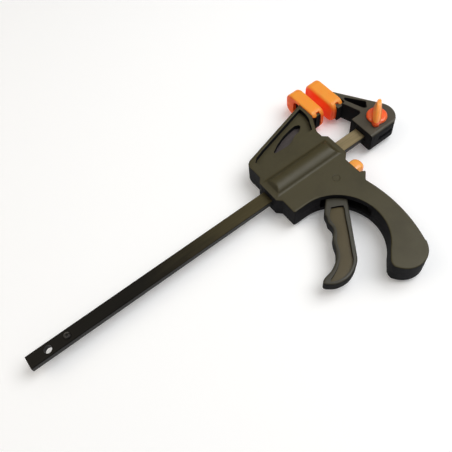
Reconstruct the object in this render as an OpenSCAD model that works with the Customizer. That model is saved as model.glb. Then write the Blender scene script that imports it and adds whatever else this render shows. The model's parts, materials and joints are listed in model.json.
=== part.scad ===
// Quick release bar clamp, 150 mm class, lying on its side.
// The bar runs along X, the jaws reach along +Y, and the plane that halves the
// clamp's thickness is level. Each sub-part is drawn in the frame of what
// carries it: the bar from its tail end, the sliding housing from its tail
// face, and the fixed jaw from the middle of its round head. All sizes are in
// millimetres.

/* [Bar] */
// Length of the flat steel bar
bar_length = 303; // [290:1:330]
// Width of the bar, across the jaws' reach
bar_width = 10; // [9.5:0.1:10]
// Thickness of the bar
bar_thickness = 5; // [4.5:0.1:5]
// Chamfer along the bar's four edges
bar_edge = 0.5; // [0.2:0.1:0.8]
// Distance of the tail hole from the bar's tail end
tail_hole_x = 14.2; // [10:0.1:18]
// Diameter of the hole at each end of the bar
bar_hole_d = 5.5; // [5.2:0.1:5.6]
// Distance of the stop pin from the bar's tail end
stop_pin_x = 28.3; // [24:0.1:34]
// Diameter of the stop pin
stop_pin_d = 4.4; // [3.5:0.1:5]
// Length of the stop pin
stop_pin_length = 7.6; // [7:0.1:9]

/* [Housing] */
// Distance from the bar's tail end to the housing's tail face
housing_x = 191.3; // [120:0.1:191.3]
// Thickness of the housing and the grip, both shells together
body_thickness = 18; // [18:0.5:22]
// Wall over the mechanism
roof = 2.2; // [1.8:0.1:2.4]
// Wall round the mechanism
wall = 2.4; // [2:0.1:2.8]
// Width of the half-round swelling over the bar
swell_width = 15; // [12:0.5:18]
// Height of the swelling over the housing's face
swell_height = 3.6; // [3:0.1:4.2]
// Radius of the arch that holds the fingers
arch_r = 32.8; // [32:0.1:33]
// Radius of the grip's palm side
palm_r = 101; // [100:0.5:101]
// Radius of the grip's round end
grip_end_r = 15.6; // [15:0.1:15.6]

/* [Jaws] */
// Length of a pad, along the jaws' reach
pad_length = 32.8; // [31:0.1:34]
// Width of a pad, along the clamp's thickness
pad_width = 19; // [18.6:0.1:20]
// Distance of the moving pad's near end from the bar's centre line
moving_pad_near = 28.9; // [28.5:0.1:29.2]
// Distance of the fixed pad's near end from the bar's centre line
fixed_pad_near = 26.5; // [26.2:0.1:27]
// Depth of a pad, from its working face to its back
pad_depth = 11; // [10.4:0.1:11.2]
// Thickness of a pad over the working face
pad_wall = 4; // [3.6:0.1:4.2]
// Radius of a pad's two outer corners
pad_corner_r = 6.5; // [5:0.1:7]
// Thickness of the jaw plate inside a pad
plate_thickness = 4; // [3.6:0.1:4.2]
// Thickness of the fixed jaw
jaw_thickness = 17; // [16:0.5:18]
// Distance of the lock screw from the bar's head end
lock_inset = 7.8; // [7.5:0.1:8.2]
// Radius of the fixed jaw's round head
head_r = 12.5; // [12:0.1:13]

/* [Lock screw] */
// Diameter of the lock screw
screw_d = 4.9; // [4.8:0.1:4.9]
// Diameter of the knob's disc
knob_d = 15.5; // [14:0.5:16]
// Length of the knob's wing
wing_length = 20.8; // [18:0.2:23]
// Height of the wing's crest over the knob's underside
wing_height = 15.5; // [12:0.5:17]
// Direction of the wing, from the bar's direction
wing_angle = 40.5; // [0:0.5:180]

/* [Trigger and brake] */
// Thickness of the trigger
trigger_thickness = 9; // [8.4:0.2:10]
// Diameter of the trigger pin
trigger_pin_d = 4; // [3.6:0.1:4.2]
// Depth of the sunk panel in each face of the trigger
panel_depth = 2; // [0.5:0.1:2.4]
// Thickness of each steel plate round the bar
steel_t = 2.2; // [2:0.1:2.2]
// Lean of the brake plate at rest, in degrees
brake_lean = 6; // [4:0.5:6]
// Diameter of the springs' wire
wire_d = 1; // [0.8:0.1:1]

/* [Hidden] */
$fn = 64;

// heights, from the plane that halves the clamp's thickness
half_body = body_thickness/2;
inner_z = half_body - roof;
plate_half = 7;
neck_half = 6.3;
rest_z = half_body + swell_height;

// the clamp's own origin is under the middle of its box
lock_x = bar_length - lock_inset;
lock_offset = -1.8;
jaw_x = lock_x - lock_offset;
head_offset = 0.3;
clamp_length = jaw_x + head_offset + head_r;
grip_end = [40.4, -89.3];
centre_x = clamp_length/2;
centre_y = (moving_pad_near + pad_length + grip_end.y - grip_end_r)/2;

// fits
slide_gap = 0.25;
pin_gap = 0.05;
press_gap = 0.02;
seat_gap = 0.1;

// housing, from its tail face on the bar
tail_x = 3.1;
front_x = 60;
block_front_x = 64.5;
block_half = 9.5;
belly_y = -25.2;
arch = [13.7, -58];
palm = [-39.9, -59];
cavity_x = [5.7, 57.6];
cavity_top_y = 18.5;
arm_slope = 15.26;
arm_start = [12.7, 31.2];
heel_r = 6.5;
heel = [tail_x + heel_r, 23.6];
moving_face_x = 79.4;
moving_back_x = moving_face_x - pad_depth;
boss_d = 8.4;
shell_screw_d = 2.9;
shell_screw_head_d = 5.4;
shell_screw_spots = [[9.6, 14.6], [45.4, 14.6], [9.6, -18.8], [53.4, -52], [41.5, -91.5]];

// fixed jaw, from the middle of its round head
fixed_face_x = -20.7;
fixed_back_x = fixed_face_x + pad_depth;
jaw_near_y = -12;
nut_half = 4.1;
screw_head_d = 8;
screw_head_z = [9.1, 10.4];

// mechanism, in the housing's frame
pivot = [43.7, -22];
pivot_boss_r = 5.5;
nose = [42, -9.8];
nose_r = 2.3;
front_plate_x = 37.4;
rear_plate_x = front_plate_x - steel_t - 0.1;
drive_plate_y = [-15, 10.2];
rib_x = [39.8, 41.8];
brake_pivot = [51.3, 11];
brake_y = [-23.5, 12.8];
brake_tongue_y = -14;
button_tip_x = 70.7;
button_y = -20;
button_half = [5.5, 5];
spring_r = 6.2;

function arc(c, r, a0, a1, n = 12) =
    [for (i = [0:n]) c + r*[cos(a0 + (a1 - a0)*i/n), sin(a0 + (a1 - a0)*i/n)]];

// one point of the smooth curve through four neighbours, t from 0 to 1
function through(p0, p1, p2, p3, t) =
    p1 + t*((p2 - p0)/2 + t*((2*p0 - 5*p1 + 4*p2 - p3)/2 + t*(3*p1 - p0 - 3*p2 + p3)/2));

// a smooth open curve through all the given points
function curve(p, n = 4) =
    let (last = len(p) - 1)
    concat([for (i = [0:last - 1]) for (j = [0:n - 1])
        through(p[max(i - 1, 0)], p[i], p[i + 1], p[min(i + 2, last)], j/n)], [p[last]]);

module seat() { translate([-centre_x, -centre_y, rest_z]) children(); }
module on_housing() { seat() translate([housing_x, 0, 0]) children(); }
module on_jaw() { seat() translate([jaw_x, 0, 0]) children(); }

// a flat shape drawn in Y and Z, drawn out along X from x0 to x1
module along_x(x0, x1) {
    translate([x0, 0, 0]) rotate([90, 0, 90]) linear_extrude(x1 - x0) children();
}

// a flat shape drawn in X and Z, drawn out along Y from y0 to y1
module along_y(y0, y1) {
    translate([0, y1, 0]) rotate([90, 0, 0]) linear_extrude(y1 - y0) children();
}

module slab(x, y, z) {
    translate([x[0], y[0], z[0]]) cube([x[1] - x[0], y[1] - y[0], z[1] - z[0]]);
}

module at(p) { translate([p.x, p.y, 0]) children(); }

module rod(d, z0, z1) { translate([0, 0, z0]) cylinder(d = d, h = z1 - z0); }

// the bar's cross-section with a gap all round
module bar_way(gap) { square([bar_width + 2*gap, bar_thickness + 2*gap], center = true); }

// ---- bar ----

module bar() {
    w = bar_width/2;
    t = bar_thickness/2;
    e = bar_edge;
    color("#3b3a36") seat() difference() {
        along_x(0, bar_length)
            polygon([[-w + e, -t], [w - e, -t], [w, -t + e], [w, t - e],
                     [w - e, t], [-w + e, t], [-w, t - e], [-w, -t + e]]);
        translate([tail_hole_x, 0, 0]) rod(bar_hole_d, -t - 1, t + 1);
        translate([stop_pin_x, 0, 0]) rod(stop_pin_d + 2*press_gap, -t - 1, t + 1);
        translate([lock_x, 0, 0]) rod(bar_hole_d, -t - 1, t + 1);
    }
}

module stop_pin() {
    half = stop_pin_length/2;
    r = stop_pin_d/2;
    lead = 0.4;
    bore_r = 1.2;
    slit = 0.8;
    color("#6b6a66") seat() translate([stop_pin_x, 0, 0]) difference() {
        rotate_extrude()
            polygon([[bore_r, -half], [r - lead, -half], [r, -half + lead],
                     [r, half - lead], [r - lead, half], [bore_r, half]]);
        slab([0, r + 1], [-slit/2, slit/2], [-half - 1, half + 1]);
    }
}

// ---- pads ----

// Y and Z section of a pad, with its four corners well rounded
module pad_section(near) {
    near_r = 6;
    half = pad_width/2;
    reach = near + pad_length;
    polygon(concat(
        arc([near + near_r, half - near_r], near_r, 90, 180, 6),
        arc([near + near_r, -half + near_r], near_r, 180, 270, 6),
        arc([reach - pad_corner_r, -half + pad_corner_r], pad_corner_r, -90, 0, 10),
        arc([reach - pad_corner_r, half - pad_corner_r], pad_corner_r, 0, 90, 10)));
}

// Y and Z section of the jaw plate in a pad, grown by a gap where the pad takes it in
module plate_section(from_y, near, gap = 0) {
    r = 4;
    end_wall = 5;
    end_y = near + pad_length - end_wall + gap;
    half = plate_half - seat_gap/2 + gap;
    polygon(concat([[from_y, half], [from_y, -half]],
        arc([end_y - r, -half + r], r, -90, 0, 6),
        arc([end_y - r, half - r], r, 0, 90, 6)));
}

// a soft pad with its working face at x = 0 and its back towards +X
module pad(near) {
    edge = 2;
    half = pad_width/2;
    past = near - 2;
    lip_x = pad_wall + plate_thickness;
    mouth_end = near + 24.5;
    notch_x = [4.2, 7.2];
    notch_end = near + 3;
    difference() {
        intersection() {
            along_x(0, pad_depth) pad_section(near);
            along_y(near - 1, near + pad_length + 1)
                polygon([[edge, -half], [pad_depth, -half], [pad_depth, half],
                         [edge, half], [0, half - edge], [0, -half + edge]]);
        }
        along_x(pad_wall, lip_x) plate_section(past, near, seat_gap);
        slab([lip_x - 0.01, pad_depth + 1], [past, mouth_end],
             [-neck_half - seat_gap, neck_half + seat_gap]);
        slab(notch_x, [past, notch_end], [-half - 1, half + 1]);
    }
}

module fixed_pad() {
    color("#f26a21") on_jaw() translate([fixed_face_x, 0, 0]) pad(fixed_pad_near);
}

module moving_pad() {
    color("#f26a21") on_housing() translate([moving_face_x, 0, 0]) mirror([1, 0, 0])
        pad(moving_pad_near);
}

// ---- fixed jaw ----

module fixed_jaw_outline() {
    line_angle = 30.5;
    near_angle = asin(jaw_near_y/head_r);
    polygon(concat([[-17.5, jaw_near_y]],
        arc([head_offset, 0], head_r, near_angle, line_angle, 16),
        [[-9.1, 39.5], [fixed_back_x, 40.3], [fixed_back_x, 26.2], [-11.9, 26.2], [-11.3, 24.6],
         [-7.4, 12.2], [-8.1, 10.9], [-9.4, 10.3], [-17.5, 10.3]]));
}

module fixed_jaw() {
    half = jaw_thickness/2;
    plate_x = fixed_face_x + pad_wall;
    edge_r = 2.2;
    pocket_floor = 2;
    groove_half = 1.75;
    bar_end_x = lock_inset + lock_offset;
    color("#2b2a28") on_jaw() difference() {
        union() {
            intersection() {
                translate([0, 0, -half]) linear_extrude(jaw_thickness) fixed_jaw_outline();
                along_x(-20, 20) polygon(concat(
                    [[50, half], [jaw_near_y + edge_r, half]],
                    arc([jaw_near_y + edge_r, half - edge_r], edge_r, 90, 180, 6),
                    arc([jaw_near_y + edge_r, -half + edge_r], edge_r, 180, 270, 6),
                    [[50, -half]]));
            }
            along_x(plate_x, plate_x + plate_thickness) plate_section(25.2, fixed_pad_near);
            slab([plate_x + plate_thickness - 0.2, fixed_back_x + 0.01], [26.1, 40.3],
                 [-neck_half, neck_half]);
        }
        for (side = [-1, 1]) translate([0, 0, side > 0 ? pocket_floor : -half - 1])
            linear_extrude(half + 1 - pocket_floor) offset(0.6) offset(-0.6)
                polygon([[-7.4, 29.2], [-5.9, 28.6], [2.6, 15.6], [-1, 10.9], [-3.3, 12.3],
                         [-8.4, 27]]);
        slab([-10, 20], [jaw_near_y - 1, jaw_near_y + 3], [-groove_half, groove_half]);
        along_x(-20, bar_end_x + slide_gap) bar_way(slide_gap/2);
        at([lock_offset, 0]) {
            rod(bar_hole_d + 0.1, -half - 1, half + 1);
            slab([-nut_half, nut_half], [-nut_half, nut_half], [-half - 1, -4.4]);
        }
    }
}

module lock_nut() {
    side = 2*nut_half - 0.2;
    color("#9a9a98") on_jaw() at([lock_offset, 0]) difference() {
        translate([-side/2, -side/2, -8.3]) cube([side, side, 3.8]);
        rod(screw_d + 2*pin_gap, -9, -4);
    }
}

module lock_screw() {
    tip = 0.5;
    color("#9a9a98") on_jaw() at([lock_offset, 0]) union() {
        rod(screw_d, -8, screw_head_z[0] + 0.1);
        translate([0, 0, -8 - tip]) cylinder(d1 = screw_d - 2*tip, d2 = screw_d, h = tip);
        rod(screw_head_d, screw_head_z[0], screw_head_z[1]);
    }
}

// side view of the wing: half an ellipse
module wing_outline(z0, z1) {
    sides = 24;
    polygon([for (i = [0:sides]) let (a = 180*i/sides)
        [wing_length/2*cos(a), z0 + (z1 - z0)*sin(a)]]);
}

module lock_knob() {
    under = jaw_thickness/2 + 0.1;
    disc_h = 2.6;
    edge = 1;
    crest = under + wing_height;
    root = 3;
    top = 1.3;
    color("#f26a21") on_jaw() at([lock_offset, 0]) difference() {
        union() {
            rotate_extrude() polygon([[0, under], [knob_d/2 - edge/2, under],
                [knob_d/2, under + edge/2], [knob_d/2, under + disc_h - edge],
                [knob_d/2 - edge, under + disc_h], [0, under + disc_h]]);
            rotate([0, 0, wing_angle]) intersection() {
                rotate([90, 0, 0]) linear_extrude(4*root, center = true)
                    wing_outline(under + 0.4, crest);
                along_x(-wing_length, wing_length)
                    polygon([[-root, under], [root, under], [top, crest - 0.7],
                             [top - 0.7, crest], [0.7 - top, crest], [-top, crest - 0.7]]);
            }
        }
        rod(screw_d + 2*press_gap, under - 1, screw_head_z[0] + 0.1);
        rod(screw_head_d + 2*press_gap, screw_head_z[0] - press_gap, screw_head_z[1] + press_gap);
    }
}

// ---- housing shells ----

// outline of both shells, without the jaw plate
module housing_outline() {
    polygon(concat(
        arc([tail_x + 1.5, belly_y + 1.5], 1.5, 180, 270, 4),
        arc(arch, arch_r, 90, -53.3, 32),
        [[27, -90.7], [26, -93], [25.9, -95.6]],
        arc(grip_end, grip_end_r, 214, 339.3, 20),
        arc(palm, palm_r, -20, 13.1, 14),
        [[59.9, -34.2], [62.9, -31.4], [63.4, -30.5], [63.2, -29.8], [front_x, -28.2],
         [front_x, -14], [block_front_x, -9.8], [block_front_x, block_half],
         [61.2, 12.6], [61.2, 18], [67.4, 29.4], [moving_back_x, 31.5],
         [moving_back_x, arm_start.y + (moving_back_x - arm_start.x)*tan(arm_slope)]],
        arc(heel, heel_r, 90 + arm_slope, 180, 8),
        [[tail_x, 13], [0, block_half], [0, -block_half], [tail_x, -12.7]]));
}

// room for the mechanism, with the hollow of the grip below it
module cavity_outline() {
    difference() {
        polygon(concat(
            [[cavity_x[0], belly_y + wall]],
            arc(arch, arch_r + wall, 90, -50, 24),
            [[30.5, -91.5]],
            arc(grip_end, grip_end_r - wall, 205, 339.3, 12),
            arc(palm, palm_r - wall, -20, 12.5, 10),
            [[cavity_x[1], -30], [cavity_x[1], cavity_top_y], [cavity_x[0], cavity_top_y]]));
        for (p = shell_screw_spots) translate(p) circle(d = boss_d);
        translate(pivot) circle(d = 8);
        // rib that the drive plates rest against, and the brake plate's pivot ribs
        translate([rib_x[0], -6]) square([rib_x[1] - rib_x[0], 30]);
        translate([53.3, 10.9]) square([2.2, 10]);
        translate([46.9, 12]) square([2.4, 10]);
    }
}

module swelling() {
    rise = swell_height;
    r = (swell_width*swell_width/4 + rise*rise)/(2*rise);
    x0 = tail_x + 0.3;
    x1 = front_x + 0.1;
    intersection() {
        translate([0, 0, half_body + rise - r]) rotate([0, 90, 0]) cylinder(r = r, h = 80);
        along_y(-swell_width, swell_width)
            polygon([[x0, half_body - 0.5], [x1, half_body - 0.5], [x1, half_body],
                     [x1 - rise - 0.1, half_body + rise + 0.1], [x0 + rise + 0.1, half_body + rise + 0.1],
                     [x0, half_body]]);
    }
}

// long sunk panel of the arm, and the deeper eye inside it
module arm_panel() {
    offset(0.8) offset(-0.8)
        polygon([[10.2, 21.3], [59.6, 21.3], [64.6, 31], [65.6, 36], [65.6, 42.6],
                 [48.7, 37.9], [20.7, 30.5], [12.7, 27.9], [8.5, 24.6]]);
}

module arm_eye() {
    offset(0.8) offset(-0.8)
        polygon([[26.6, 25.9], [32.7, 29.4], [40.7, 32.5], [48.7, 34.3], [53.9, 34.8], [57.2, 33.5],
                 [57.2, 31.5], [53.2, 28.5], [48.7, 27.8], [42.7, 24.8], [38.7, 23.6], [26.7, 24.3]]);
}

// one shell above the middle plane; the other is its mirror image
module shell_half() {
    panel_floor = half_body - 4;
    eye_floor = 1;
    arm_end_y = arm_start.y + (moving_back_x - arm_start.x)*tan(arm_slope);
    plate_x = moving_face_x - pad_wall - plate_thickness;
    plate_near = moving_pad_near + 0.8;
    spring_room_r = 7.2;
    difference() {
        union() {
            linear_extrude(half_body) housing_outline();
            swelling();
            intersection() {
                union() {
                    along_x(plate_x, plate_x + plate_thickness)
                        plate_section(plate_near, moving_pad_near);
                    slab([moving_back_x - 0.01, plate_x + 0.01], [31, arm_end_y],
                         [-neck_half, neck_half]);
                }
                slab([0, 90], [0, 90], [0, half_body]);
            }
        }
        translate([0, 0, -1]) linear_extrude(inner_z + 1) cavity_outline();
        // the spring's room reaches up into the swelling
        intersection() {
            translate([8.6, 0, 3]) rotate([0, 90, 0]) cylinder(r = spring_room_r, h = 46);
            union() {
                slab([8.6, rib_x[0]], [-9, 9], [-1, 20]);
                slab([rib_x[1], 54.6], [-9, 9], [-1, 20]);
            }
        }
        along_x(-1, 70) bar_way(slide_gap);
        // mouths for the trigger and for the release button
        translate([0, 0, -1]) linear_extrude(trigger_thickness/2 + 1.3)
            polygon(concat(arc(arch, arch_r - 2, 70, 5, 14), arc(arch, arch_r + wall + 0.8, 5, 70, 14)));
        slab([cavity_x[0] + 40, 66], [-26.9, -14.3], [-1, button_half[1] + 0.3]);
        at(pivot) rod(trigger_pin_d + 2*press_gap, -1, 7.9);
        translate([0, 0, panel_floor]) linear_extrude(half_body) arm_panel();
        translate([0, 0, eye_floor]) linear_extrude(half_body) arm_eye();
        // faint round mark over the trigger pin
        at(pivot) rod(5, half_body - 0.15, half_body + 1);
    }
}

// the bosses that hold the trigger pin stop short of the trigger
module pivot_clearance() {
    at(pivot) rod(11.6, -1, trigger_thickness/2 + 0.15);
}

module left_shell() {
    color("#33322e") on_housing() difference() {
        shell_half();
        pivot_clearance();
        for (p = shell_screw_spots) at(p) rod(shell_screw_d + 2*press_gap, -1, 5.6);
    }
}

module right_shell() {
    color("#33322e") on_housing() mirror([0, 0, 1]) difference() {
        shell_half();
        pivot_clearance();
        for (p = shell_screw_spots) at(p) {
            rod(shell_screw_d + 0.3, -1, half_body + 1);
            rod(shell_screw_head_d + 0.6, half_body - 3, half_body + 1);
        }
    }
}

module shell_screws() {
    head_z = -half_body + 3;
    color("#8c8c8a") on_housing() for (p = shell_screw_spots) at(p) difference() {
        union() {
            rod(shell_screw_d, head_z - 0.1, 5);
            translate([0, 0, head_z - 2]) cylinder(d1 = shell_screw_head_d - 1.2,
                                                   d2 = shell_screw_head_d, h = 0.8);
            rod(shell_screw_head_d, head_z - 1.21, head_z);
        }
        for (a = [0, 90]) rotate([0, 0, a])
            slab([-1.5, 1.5], [-0.35, 0.35], [head_z - 3, head_z - 0.9]);
    }
}

// ---- trigger ----

module trigger_outline() {
    nose_root_r = 3.6;
    edge = curve([[26.4, -30.2], [20.6, -35.9], [19.2, -39.6], [17.3, -43.4], [17.2, -47.3],
                  [15.4, -50.7], [12, -53.7], [9.4, -57.7], [7.1, -62.3], [3.7, -66.2],
                  [-0.4, -69.1], [-5.4, -71.2], [-11.3, -72.1], [-14.2, -73.6], [-14.6, -75.5],
                  [-12.6, -77.6], [-9.5, -79.9], [-6, -81.2], [-1.3, -81.9], [3.4, -81.3],
                  [8.5, -79.3], [13.4, -75.9], [17.3, -70.8], [25.1, -59.4], [32.6, -48.5],
                  [38.6, -40.2]], 3);
    union() {
        polygon(concat(edge, [[48.2, -25.2], pivot, [39.9, -18.1]]));
        translate(pivot) circle(pivot_boss_r);
        hull() {
            translate(pivot) circle(nose_root_r);
            translate(nose) circle(nose_r);
        }
    }
}

module trigger_panel() {
    polygon(curve([[26.9, -35.7], [23.2, -38.6], [20.9, -41], [19.9, -44], [19.2, -48],
                   [17.2, -52], [14, -55.6], [11.4, -58.8], [9.2, -63.4], [5.4, -68],
                   [0.6, -71.6], [-4.6, -74], [-9.2, -75.6], [-10.4, -76.6], [-8.4, -78],
                   [-4.6, -79.2], [-0.4, -79.6], [4, -78.8], [8, -77], [11.4, -74.2],
                   [15.2, -68.6], [22.9, -57.5], [29.4, -47.5], [33.6, -41.6], [33.4, -39.2],
                   [26.9, -35.7]], 3));
}

module trigger() {
    half = trigger_thickness/2;
    color("#2b2a28") on_housing() difference() {
        translate([0, 0, -half]) linear_extrude(trigger_thickness) trigger_outline();
        for (side = [-1, 1]) translate([0, 0, side > 0 ? half - panel_depth : -half - 1])
            linear_extrude(panel_depth + 1) trigger_panel();
        at(pivot) rod(trigger_pin_d + 2*pin_gap, -half - 1, half + 1);
    }
}

module trigger_pin() {
    color("#8c8c8a") on_housing() at(pivot) rod(trigger_pin_d, -7.8, 7.8);
}

// ---- drive and brake ----

// a steel plate with a hole for the bar, its tail face at x = 0
module drive_plate() {
    half = 6.2;
    difference() {
        slab([0, steel_t], drive_plate_y, [-half, half]);
        along_x(-1, steel_t + 1) bar_way(slide_gap - 0.05);
    }
}

module drive_plate_front() {
    color("#77756f") on_housing() translate([front_plate_x, 0, 0]) drive_plate();
}

module drive_plate_rear() {
    color("#77756f") on_housing() translate([rear_plate_x, 0, 0]) drive_plate();
}

// a round wire coiled round the bar, from x0 to x1
module coil(x0, x1, turns) {
    sides = 6;
    per_turn = 16;
    rings = turns*per_turn;
    wire = wire_d/2;
    travel = x1 - x0 - 2*wire;
    points = [for (i = [0:rings]) for (j = [0:sides - 1])
        let (a = 360*i/per_turn, b = 360*j/sides, r = spring_r + wire*cos(b))
        [x0 + wire + travel*i/rings + wire*sin(b), r*cos(a), r*sin(a)]];
    skin = [for (i = [0:rings - 1]) for (j = [0:sides - 1])
        let (k = (j + 1)%sides)
        [i*sides + j, (i + 1)*sides + j, (i + 1)*sides + k, i*sides + k]];
    ends = [[for (j = [0:sides - 1]) j], [for (j = [sides - 1:-1:0]) rings*sides + j]];
    polyhedron(points, concat(skin, ends));
}

module drive_spring() {
    color("#a5a5a2") on_housing() coil(cavity_x[0] + 0.1, rear_plate_x - 0.1, 7);
}

module brake_spring() {
    color("#a5a5a2") on_housing() coil(rib_x[1] + 0.1, 50.1, 3);
}

// turns what is drawn upright to the lean that the brake has at rest
module leaning() {
    translate([brake_pivot.x, brake_pivot.y, 0]) rotate([0, 0, brake_lean])
        translate([-brake_pivot.x, -brake_pivot.y, 0]) children();
}

module brake_blank(gap = 0) {
    x = [brake_pivot.x - steel_t/2 - gap, brake_pivot.x + steel_t/2 + gap];
    slab(x, [brake_tongue_y, brake_y[1]], [-6, 6]);
    slab(x, [brake_y[0] - gap, brake_tongue_y + 1], [-3.2 - gap, 3.2 + gap]);
    // the rolled end that the plate tilts on
    at(brake_pivot) rod(2*(brake_y[1] - brake_pivot.y), -6, 6);
}

module brake_plate() {
    lean_room = 0.35;
    color("#77756f") on_housing() leaning() difference() {
        brake_blank();
        along_x(brake_pivot.x - 5, brake_pivot.x + 5)
            square([bar_width + 2*lean_room, bar_thickness + 2*slide_gap], center = true);
    }
}

module release_button() {
    r = button_half.x;
    tip = [button_tip_x - r, button_y];
    root_x = 54.2;
    color("#f7862b") on_housing() difference() {
        intersection() {
            translate([0, 0, -button_half[1]]) linear_extrude(2*button_half[1])
                polygon(concat([[root_x, tip.y + r], [root_x, tip.y - r]], arc(tip, r, -90, 90, 16)));
            along_y(tip.y - r - 1, tip.y + r + 1)
                polygon(concat([[root_x, button_half[1]], [root_x, -button_half[1]]],
                    arc([button_tip_x - button_half[1], 0], button_half[1], -90, 90, 16)));
        }
        leaning() brake_blank(press_gap);
    }
}

bar();
stop_pin();
fixed_jaw();
fixed_pad();
lock_nut();
lock_screw();
lock_knob();
left_shell();
right_shell();
shell_screws();
moving_pad();
trigger();
trigger_pin();
drive_plate_front();
drive_plate_rear();
drive_spring();
brake_plate();
brake_spring();
release_button();
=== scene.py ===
# Dresses the bar clamp: softened copies of its black mouldings, orange pads, knob and button,
# coiled springs, the materials of all its pieces, a pale floor and two soft lamps.
import json
import math

import bmesh
import bpy
import numpy as np
from mathutils import Euler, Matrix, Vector
from mathutils.geometry import delaunay_2d_cdt


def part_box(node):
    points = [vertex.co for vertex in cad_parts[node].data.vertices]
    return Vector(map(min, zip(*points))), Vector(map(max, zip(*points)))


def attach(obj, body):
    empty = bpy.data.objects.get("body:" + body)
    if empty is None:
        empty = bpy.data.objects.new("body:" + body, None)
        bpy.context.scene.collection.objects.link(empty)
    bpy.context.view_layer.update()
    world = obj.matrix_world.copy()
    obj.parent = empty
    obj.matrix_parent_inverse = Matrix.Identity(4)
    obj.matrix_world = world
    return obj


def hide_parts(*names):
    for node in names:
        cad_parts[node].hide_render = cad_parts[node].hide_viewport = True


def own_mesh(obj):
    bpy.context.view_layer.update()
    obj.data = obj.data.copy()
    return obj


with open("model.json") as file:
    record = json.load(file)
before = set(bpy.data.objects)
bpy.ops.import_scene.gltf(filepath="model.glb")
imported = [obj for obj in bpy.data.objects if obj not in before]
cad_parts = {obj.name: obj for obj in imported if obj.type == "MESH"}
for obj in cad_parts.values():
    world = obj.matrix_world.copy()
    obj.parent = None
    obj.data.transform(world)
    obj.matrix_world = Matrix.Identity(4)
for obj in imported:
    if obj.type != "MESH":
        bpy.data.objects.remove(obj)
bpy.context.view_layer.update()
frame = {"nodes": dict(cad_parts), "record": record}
scene = bpy.context.scene
mm = 0.001

# the middle of the clamp's thickness and the middle of the bar's width, in mm
midPlane = (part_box("bar")[0][2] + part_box("bar")[1][2]) / 2 / mm
barLine = (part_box("bar")[0][1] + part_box("bar")[1][1]) / 2 / mm

viewPoint = {
    "place": (-92.06, -149.61, 349.93),  # mm
    "turn": (30.835, 4.815, -36.857),  # degrees
    "lens": 44.68, "filmWidth": 36, "nearest": 10,  # mm
    "shift": (-0.0042, -0.0254),
}


def placeCamera():
    data = bpy.data.cameras.new("benchCamera")
    data.sensor_width = viewPoint["filmWidth"]
    data.lens = viewPoint["lens"]
    data.shift_x, data.shift_y = viewPoint["shift"]
    data.clip_start = viewPoint["nearest"] * mm
    cam = bpy.data.objects.new("benchCamera", data)
    cam.location = Vector(viewPoint["place"]) * mm
    cam.rotation_euler = Euler([math.radians(a) for a in viewPoint["turn"]])
    scene.collection.objects.link(cam)
    scene.camera = cam


placeCamera()
print("camera placed")


# a socket takes a fixed value or another node's output
def plug(tree, value, socket):
    if isinstance(value, bpy.types.NodeSocket):
        tree.links.new(value, socket)
    elif isinstance(value, tuple) and socket.type == "RGBA":
        socket.default_value = (*value, 1.0)
    else:
        socket.default_value = value


def mathNode(tree, operation, *values, clamp=False):
    n = tree.nodes.new("ShaderNodeMath")
    n.operation = operation
    n.use_clamp = clamp
    for socket, value in zip(n.inputs, values):
        plug(tree, value, socket)
    return n.outputs[0]


def mapRange(tree, value, low, high, start, end, kind):
    n = tree.nodes.new("ShaderNodeMapRange")
    n.interpolation_type = kind
    plug(tree, value, n.inputs["Value"])
    for label, limit in (("From Min", low), ("From Max", high), ("To Min", start), ("To Max", end)):
        plug(tree, limit, n.inputs[label])
    return n.outputs["Result"]


def smoothStep(tree, value, low, high, start=0.0, end=1.0):
    return mapRange(tree, value, low, high, start, end, "SMOOTHSTEP")


def mixValue(tree, fac, low, high):
    return mapRange(tree, fac, 0.0, 1.0, low, high, "LINEAR")


def mixColour(tree, fac, low, high, blend="MIX"):
    n = tree.nodes.new("ShaderNodeMix")
    n.data_type = "RGBA"
    n.blend_type = blend
    for i, value in ((0, fac), (6, low), (7, high)):  # factor, A and B of a colour mix
        plug(tree, value, n.inputs[i])
    return n.outputs[2]


def objectCoords(tree):
    return tree.nodes.new("ShaderNodeTexCoord").outputs["Object"]


def splitAxes(tree, vector):
    n = tree.nodes.new("ShaderNodeSeparateXYZ")
    tree.links.new(vector, n.inputs["Vector"])
    return n.outputs


def noiseAt(tree, coords, scale, noise, stretch=None):
    n = tree.nodes.new("ShaderNodeTexNoise")
    n.inputs["Detail"].default_value, n.inputs["Roughness"].default_value = noise
    plug(tree, scale, n.inputs["Scale"])
    if stretch:
        m = tree.nodes.new("ShaderNodeMapping")
        m.inputs["Scale"].default_value = stretch
        tree.links.new(coords, m.inputs["Vector"])
        coords = m.outputs["Vector"]
    tree.links.new(coords, n.inputs["Vector"])
    return n.outputs["Fac"]


def startGroup(name, inputs, outputs):
    tree = bpy.data.node_groups.new(name, "ShaderNodeTree")
    for label, value in inputs.items():
        s = tree.interface.new_socket(label, in_out="INPUT", socket_type="NodeSocketFloat")
        s.default_value = value
    for label in outputs:
        tree.interface.new_socket(label, in_out="OUTPUT", socket_type="NodeSocketFloat")
    given = tree.nodes.new("NodeGroupInput").outputs
    return tree, given, tree.nodes.new("NodeGroupOutput").inputs


# noise is given as its detail and roughness
grainShape = {"smoothness": 0.6, "cellHeight": 0.6, "fineScale": 1.7, "fineNoise": (2.0, 0.5),
              "cloudNoise": (4.0, 0.6), "cloudFrom": (0.34, 0.66)}


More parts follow.
